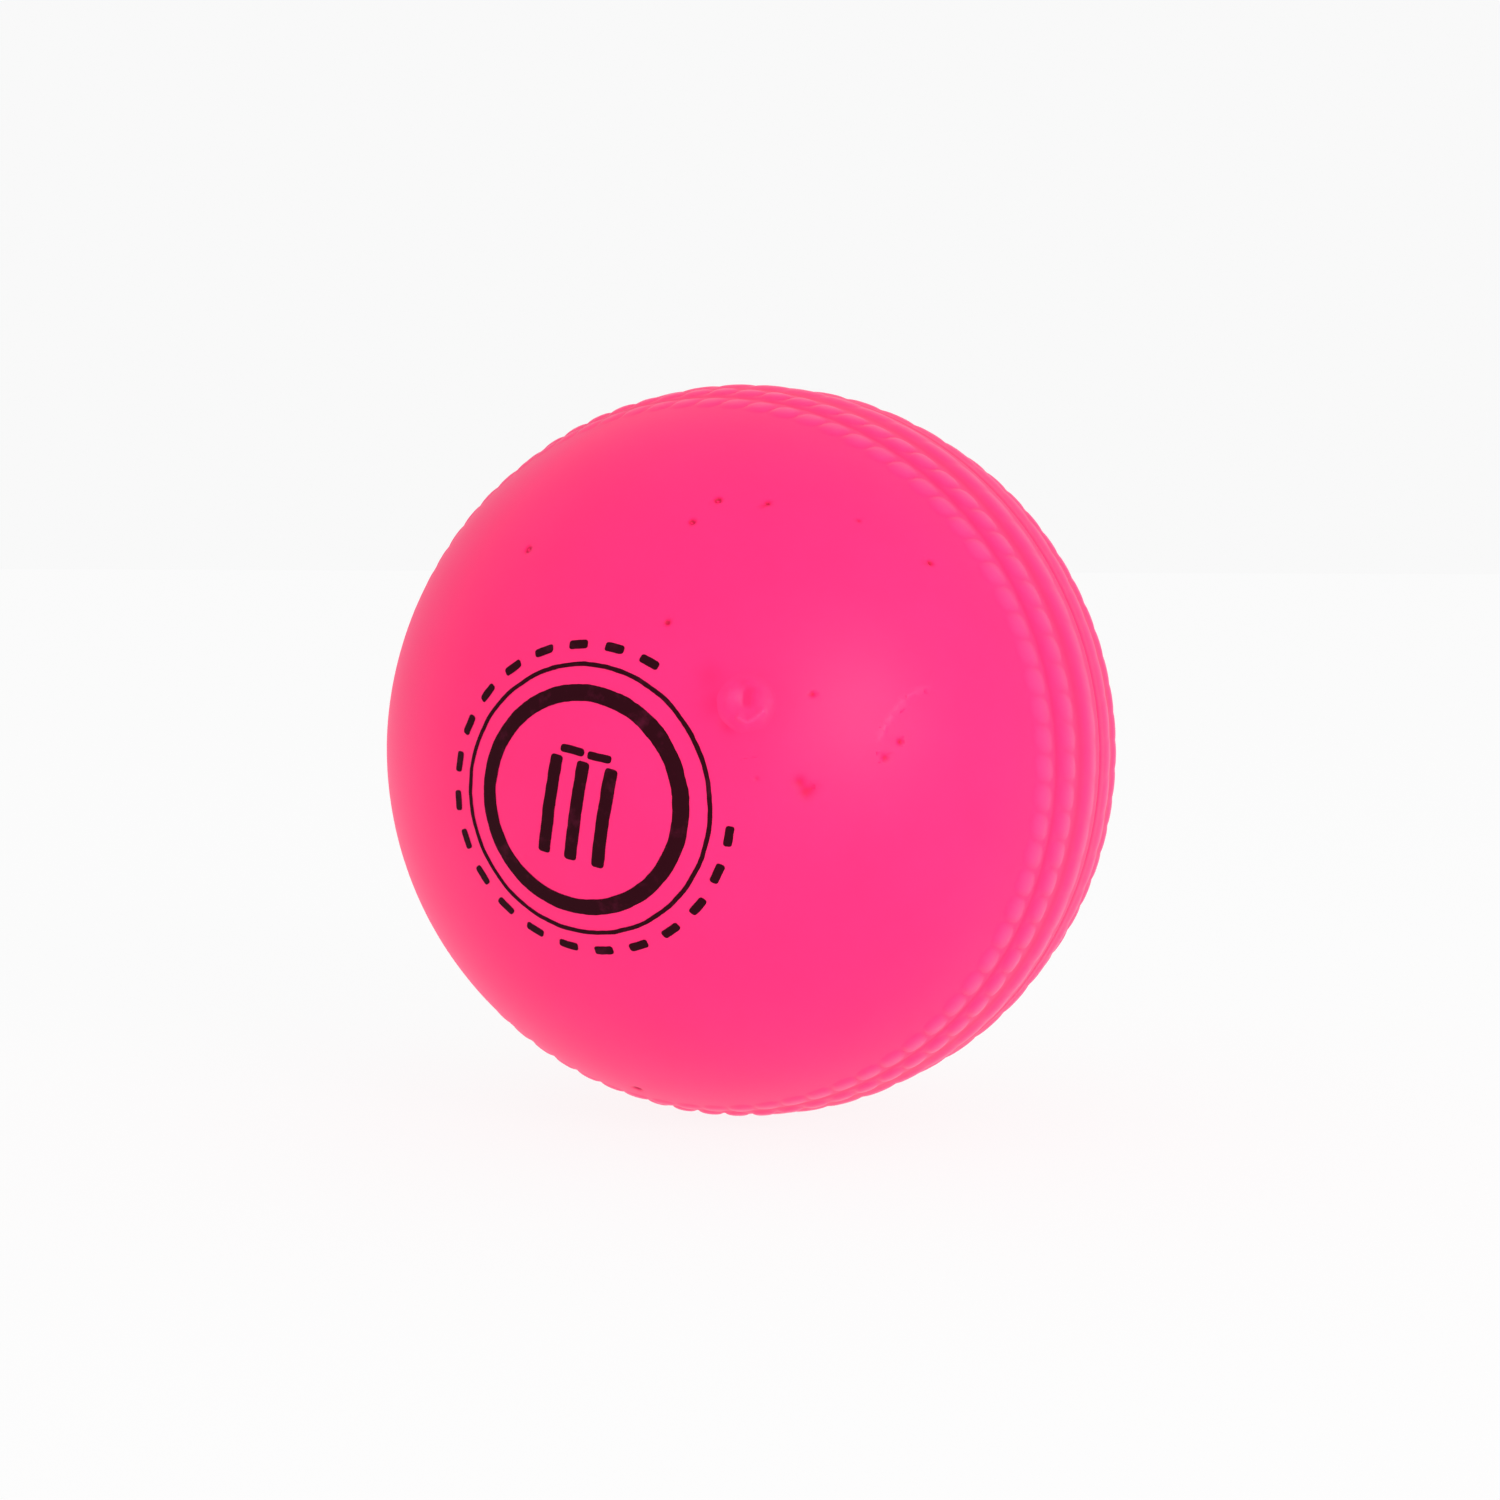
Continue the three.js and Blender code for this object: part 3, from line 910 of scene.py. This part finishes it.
RING_RADII = (8.9 * MM, 10.4 * MM)
HAIRLINE_RADII = (12.0 * MM, 12.4 * MM)
STUMP_BAR = (1.2 * MM, 9 * MM, 0.3 * MM)       # each bar's width, height and corner
BAIL_BAR = (2.35 * MM, 0.7 * MM, 0.25 * MM)
DASH_BAR = (1.9 * MM, 0.8 * MM, 0.25 * MM)


def finish_print(name, bm, node):
    finish_piece(make_object(name, bm, ink), "print_ink", node)


finish_print("ink_ring", ink_ring(*RING_RADII, 300, 7), "print_ring")
finish_print("ink_hairline", ink_ring(*HAIRLINE_RADII, 360, 3), "print_hairline_ring")
for side in ("left", "middle", "right"):
    node = f"print_stump_{side}"
    finish_print(f"ink_stump_{side}", ink_bar(node, *STUMP_BAR), node)
for side in ("left", "right"):
    node = f"print_bail_{side}"
    finish_print(f"ink_bail_{side}", ink_bar(node, *BAIL_BAR), node)
for node in sorted(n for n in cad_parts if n.startswith("print_dash_")):
    across, up = mark.flat(middle_of(node).normalized())
    bar = ink_bar(node, *DASH_BAR, turn=math.atan2(up, across) - math.pi / 2)
    finish_print(node.replace("print", "ink"), bar, node)


# ---------------------------------------------------------------------------------------------------------
# Floor, light and camera
# ---------------------------------------------------------------------------------------------------------

CAMERA_AZIMUTH, CAMERA_ELEVATION = 22.1, 4.0   # degrees
CAMERA_DISTANCE = 8 * BODY_R
CAMERA_LENS = 69.35            # millimetres on a 36 mm sensor


def look_from(azimuth, elevation):
    a, e = math.radians(azimuth), math.radians(elevation)
    return Vector((math.sin(a) * math.cos(e), -math.cos(a) * math.cos(e), math.sin(e)))


def aim(obj, back):
    obj.rotation_mode = "QUATERNION"
    obj.rotation_quaternion = (-back).to_track_quat("-Z", "Y")


def add_softbox(name, azimuth, elevation, distance, size, watts):
    light = bpy.data.lights.new(name, "AREA")
    light.size = size
    light.energy = watts
    obj = bpy.data.objects.new(name, light)
    back = look_from(azimuth, elevation)
    obj.location = back * distance
    aim(obj, back)
    bpy.context.scene.collection.objects.link(obj)


bm = bmesh.new()
bmesh.ops.create_grid(bm, x_segments=1, y_segments=1, size=6)
bmesh.ops.translate(bm, verts=bm.verts, vec=(0, 0, cad_low.z - 0.02 * MM))
floor = make_object("floor", bm, studio_floor())

bpy.context.scene.world = studio_world()
bpy.context.scene.view_settings.view_transform = "Standard"

add_softbox("key", CAMERA_AZIMUTH + 32, 14, distance=0.7, size=0.32, watts=2.7)
add_softbox("low_key", CAMERA_AZIMUTH + 20, -22, distance=0.7, size=0.35, watts=1.3)
add_softbox("left_fill", CAMERA_AZIMUTH - 60, 12, distance=0.9, size=0.9, watts=0.3)

camera = bpy.data.objects.new("camera", bpy.data.cameras.new("camera"))
camera.data.sensor_width = 36
camera.data.lens = CAMERA_LENS
camera.data.clip_start = 0.01
back = look_from(CAMERA_AZIMUTH, CAMERA_ELEVATION)
camera.location = back * CAMERA_DISTANCE
aim(camera, back)
bpy.context.scene.collection.objects.link(camera)
bpy.context.scene.camera = camera
